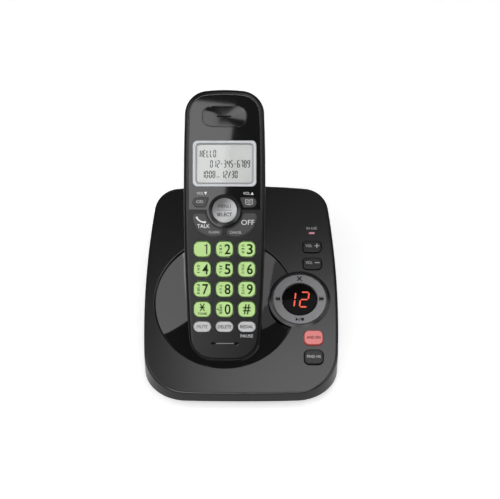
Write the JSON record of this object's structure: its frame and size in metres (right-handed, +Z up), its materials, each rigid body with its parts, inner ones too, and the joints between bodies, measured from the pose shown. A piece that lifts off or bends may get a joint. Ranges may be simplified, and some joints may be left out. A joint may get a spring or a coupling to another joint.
{
  "type": "cordless telephone answering machine",
  "caption": "Answering machine base with a sloping top, a message counter in a tilting ring, push buttons and a round dish that charges a cordless handset with a keypad and a display.",
  "frame": {"origin": "on the table under the middle of the box round the base and its docked handset", "axes": "+X to the right of someone who faces the buttons, +Y from the low front edge to the back, +Z up"},
  "size_m": [0.1132, 0.1372, 0.1376],
  "materials": {
    "base_satin": "fine satin moulding, black",
    "base_underside": "matt moulding, black",
    "dish_gloss": "polished, black",
    "dark_button": "satin, dark grey with pale lettering",
    "lit_button": "translucent, lit pink",
    "ring_grey": "satin, mid grey with dark signs",
    "counter_window": "polished, smoked",
    "counter_digits": "lit red segments",
    "lamp": "clear, lit pink",
    "rubber": "matt rubber",
    "steel": "zinc-plated",
    "contact_metal": "plated spring metal",
    "circuit_board": "green solder mask",
    "switch_plastic": "black",
    "speaker": "black paper and steel",
    "socket": "black",
    "inner_white": "natural moulding",
    "handset_satin": "fine satin moulding, black",
    "faceplate_gloss": "polished, black",
    "bezel_silver": "silver paint",
    "display_clear": "clear window",
    "display_grey": "pale grey liquid-crystal panel",
    "key_green": "glow-green rubber with dark lettering",
    "key_silver": "pale grey rubber with dark lettering",
    "key_black": "polished, black with pale lettering",
    "menu_silver": "satin silver",
    "earpiece": "polished, black",
    "cell_wrap": "plain green sleeve",
    "mat": "grey silicone"
  },
  "bodies": {
    "base": {"base_top_housing": "base_satin", "base_bottom_housing": "base_underside", "cradle_dish": "dish_gloss", "base_feet": "rubber", "base_screws": "steel", "base_speaker": "speaker", "line_jack": "socket", "power_jack": "socket", "message_counter_lens": "counter_window", "message_counter_display": "counter_digits", "in_use_lamp": "lamp", "base_circuit_board": "circuit_board", "base_switches": "switch_plastic", "board_screws": "steel", "charging_contacts": "contact_metal"},
    "handset": {"handset_front_shell": "handset_satin", "handset_faceplate": "faceplate_gloss", "handset_back_shell": "handset_satin", "handset_screws": "steel", "display_bezel": "bezel_silver", "display_lens": "display_clear", "display_panel": "display_grey", "earpiece_insert": "earpiece", "earpiece_speaker": "speaker", "handset_microphone": "steel", "keypad_mat": "mat", "handset_circuit_board": "circuit_board", "handset_loudspeaker": "speaker", "handset_charge_pads": "contact_metal", "battery_cells": "cell_wrap", "battery_contacts": "contact_metal"},
    "ring_carrier": {"ring_carrier": "inner_white"},
    "message_ring": {"message_ring": "ring_grey"},
    "battery_door": {"battery_door": "handset_satin"},
    "volume_up_button": {"volume_up_button": "dark_button"},
    "volume_down_button": {"volume_down_button": "dark_button"},
    "answer_on_button": {"answer_on_button": "lit_button"},
    "find_handset_button": {"find_handset_button": "dark_button"},
    "key_1": {"key_1": "key_green"},
    "key_2": {"key_2": "key_green"},
    "key_3": {"key_3": "key_green"},
    "key_4": {"key_4": "key_green"},
    "key_5": {"key_5": "key_green"},
    "key_6": {"key_6": "key_green"},
    "key_7": {"key_7": "key_green"},
    "key_8": {"key_8": "key_green"},
    "key_9": {"key_9": "key_green"},
    "key_star": {"key_star": "key_green"},
    "key_0": {"key_0": "key_green"},
    "key_pound": {"key_pound": "key_green"},
    "mute_key": {"mute_key": "key_silver"},
    "delete_key": {"delete_key": "key_silver"},
    "redial_key": {"redial_key": "key_silver"},
    "caller_list_key": {"caller_list_key": "key_black"},
    "directory_key": {"directory_key": "key_black"},
    "talk_key": {"talk_key": "key_black"},
    "off_key": {"off_key": "key_black"},
    "menu_button": {"menu_button": "menu_silver"}
  },
  "joints": [
    {"name": "handset_lift", "type": "slide", "parent": "base", "child": "handset", "axis": [0, -0.7071, 0.7071], "range_m": [0, 0.06]},
    {"name": "volume_up_button_press", "type": "slide", "parent": "base", "child": "volume_up_button", "axis": [0, 0.342, -0.9397], "range_m": [0, 0.0008], "stiffness_N_per_m": 900, "springref_m": -0.0005},
    {"name": "volume_down_button_press", "type": "slide", "parent": "base", "child": "volume_down_button", "axis": [0, 0.342, -0.9397], "range_m": [0, 0.0008], "stiffness_N_per_m": 900, "springref_m": -0.0005},
    {"name": "answer_on_button_press", "type": "slide", "parent": "base", "child": "answer_on_button", "axis": [0, 0.342, -0.9397], "range_m": [0, 0.0008], "stiffness_N_per_m": 900, "springref_m": -0.0005},
    {"name": "find_handset_button_press", "type": "slide", "parent": "base", "child": "find_handset_button", "axis": [0, 0.342, -0.9397], "range_m": [0, 0.0008], "stiffness_N_per_m": 900, "springref_m": -0.0005},
    {"name": "key_1_press", "type": "slide", "parent": "handset", "child": "key_1", "axis": [0, 0.7071, -0.7071], "range_m": [0, 0.0007], "stiffness_N_per_m": 800, "springref_m": -0.0005},
    {"name": "key_2_press", "type": "slide", "parent": "handset", "child": "key_2", "axis": [0, 0.7071, -0.7071], "range_m": [0, 0.0007], "stiffness_N_per_m": 800, "springref_m": -0.0005},
    {"name": "key_3_press", "type": "slide", "parent": "handset", "child": "key_3", "axis": [0, 0.7071, -0.7071], "range_m": [0, 0.0007], "stiffness_N_per_m": 800, "springref_m": -0.0005},
    {"name": "key_4_press", "type": "slide", "parent": "handset", "child": "key_4", "axis": [0, 0.7071, -0.7071], "range_m": [0, 0.0007], "stiffness_N_per_m": 800, "springref_m": -0.0005},
    {"name": "key_5_press", "type": "slide", "parent": "handset", "child": "key_5", "axis": [0, 0.7071, -0.7071], "range_m": [0, 0.0007], "stiffness_N_per_m": 800, "springref_m": -0.0005},
    {"name": "key_6_press", "type": "slide", "parent": "handset", "child": "key_6", "axis": [0, 0.7071, -0.7071], "range_m": [0, 0.0007], "stiffness_N_per_m": 800, "springref_m": -0.0005},
    {"name": "key_7_press", "type": "slide", "parent": "handset", "child": "key_7", "axis": [0, 0.7071, -0.7071], "range_m": [0, 0.0007], "stiffness_N_per_m": 800, "springref_m": -0.0005},
    {"name": "key_8_press", "type": "slide", "parent": "handset", "child": "key_8", "axis": [0, 0.7071, -0.7071], "range_m": [0, 0.0007], "stiffness_N_per_m": 800, "springref_m": -0.0005},
    {"name": "key_9_press", "type": "slide", "parent": "handset", "child": "key_9", "axis": [0, 0.7071, -0.7071], "range_m": [0, 0.0007], "stiffness_N_per_m": 800, "springref_m": -0.0005},
    {"name": "key_star_press", "type": "slide", "parent": "handset", "child": "key_star", "axis": [0, 0.7071, -0.7071], "range_m": [0, 0.0007], "stiffness_N_per_m": 800, "springref_m": -0.0005},
    {"name": "key_0_press", "type": "slide", "parent": "handset", "child": "key_0", "axis": [0, 0.7071, -0.7071], "range_m": [0, 0.0007], "stiffness_N_per_m": 800, "springref_m": -0.0005},
    {"name": "key_pound_press", "type": "slide", "parent": "handset", "child": "key_pound", "axis": [0, 0.7071, -0.7071], "range_m": [0, 0.0007], "stiffness_N_per_m": 800, "springref_m": -0.0005},
    {"name": "mute_key_press", "type": "slide", "parent": "handset", "child": "mute_key", "axis": [0, 0.7071, -0.7071], "range_m": [0, 0.0007], "stiffness_N_per_m": 800, "springref_m": -0.0005},
    {"name": "delete_key_press", "type": "slide", "parent": "handset", "child": "delete_key", "axis": [0, 0.7071, -0.7071], "range_m": [0, 0.0007], "stiffness_N_per_m": 800, "springref_m": -0.0005},
    {"name": "redial_key_press", "type": "slide", "parent": "handset", "child": "redial_key", "axis": [0, 0.7071, -0.7071], "range_m": [0, 0.0007], "stiffness_N_per_m": 800, "springref_m": -0.0005},
    {"name": "caller_list_key_press", "type": "slide", "parent": "handset", "child": "caller_list_key", "axis": [0, 0.7071, -0.7071], "range_m": [0, 0.0007], "stiffness_N_per_m": 800, "springref_m": -0.0005},
    {"name": "directory_key_press", "type": "slide", "parent": "handset", "child": "directory_key", "axis": [0, 0.7071, -0.7071], "range_m": [0, 0.0007], "stiffness_N_per_m": 800, "springref_m": -0.0005},
    {"name": "talk_key_press", "type": "slide", "parent": "handset", "child": "talk_key", "axis": [0, 0.7071, -0.7071], "range_m": [0, 0.0007], "stiffness_N_per_m": 800, "springref_m": -0.0005},
    {"name": "off_key_press", "type": "slide", "parent": "handset", "child": "off_key", "axis": [0, 0.7071, -0.7071], "range_m": [0, 0.0007], "stiffness_N_per_m": 800, "springref_m": -0.0005},
    {"name": "menu_button_press", "type": "slide", "parent": "handset", "child": "menu_button", "axis": [0, 0.7071, -0.7071], "range_m": [0, 0.0007], "stiffness_N_per_m": 800, "springref_m": -0.0005},
    {"name": "ring_tip_up_down", "type": "hinge", "parent": "base", "child": "ring_carrier", "pos_m": [0.0342, -0.01274, 0.0335], "axis": [1, 0, 0], "range_deg": [-2.5, 2.5], "stiffness_Nm_per_rad": 0.45},
    {"name": "ring_tip_left_right", "type": "hinge", "parent": "ring_carrier", "child": "message_ring", "pos_m": [0.0342, -0.01315, 0.03464], "axis": [0, 0.9397, 0.342], "range_deg": [-2.5, 2.5], "stiffness_Nm_per_rad": 0.45},
    {"name": "battery_door_slide", "type": "slide", "parent": "handset", "child": "battery_door", "axis": [0, -0.7071, -0.7071], "range_m": [0, 0.005]}
  ]
}
